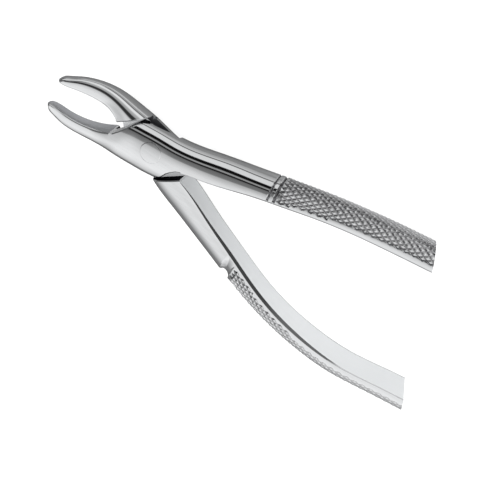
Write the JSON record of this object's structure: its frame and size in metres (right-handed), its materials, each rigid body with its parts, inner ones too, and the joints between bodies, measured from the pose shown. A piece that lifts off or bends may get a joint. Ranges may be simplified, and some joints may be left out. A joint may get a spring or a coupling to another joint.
{
  "type": "dental extraction forceps",
  "caption": "Tooth extraction forceps: two forged steel halves crossing at a riveted lap joint, with bent spoon beaks and bowed, knurled handles.",
  "frame": {"origin": "middle of the resting tool's bounding box in X and Y, at its lowest point in Z", "axes": "+X from the beaks to the handle ends, +Y from the bowed handle to the straight handle, +Z along the pivot axis, from the back half to the front half, the way the beak tips are bent"},
  "size_m": [0.1781, 0.0734, 0.015],
  "materials": {
    "front_steel": "polished stainless steel, ground spoon hollow, diamond knurled grip",
    "back_steel": "polished stainless steel, ground spoon hollow and lap face, diamond knurled grip",
    "rivet_steel": "stainless steel, ground flush and polished with the plate"
  },
  "bodies": {
    "back": {"back_half": "back_steel"},
    "front": {"front_half": "front_steel", "pivot_rivet": "rivet_steel"}
  },
  "joints": [
    {"name": "jaw_hinge", "type": "hinge", "parent": "back", "child": "front", "pos_m": [-0.044, 0.0034, 0.00735], "axis": [0, 0, 1], "range_deg": [-12, 33]}
  ]
}
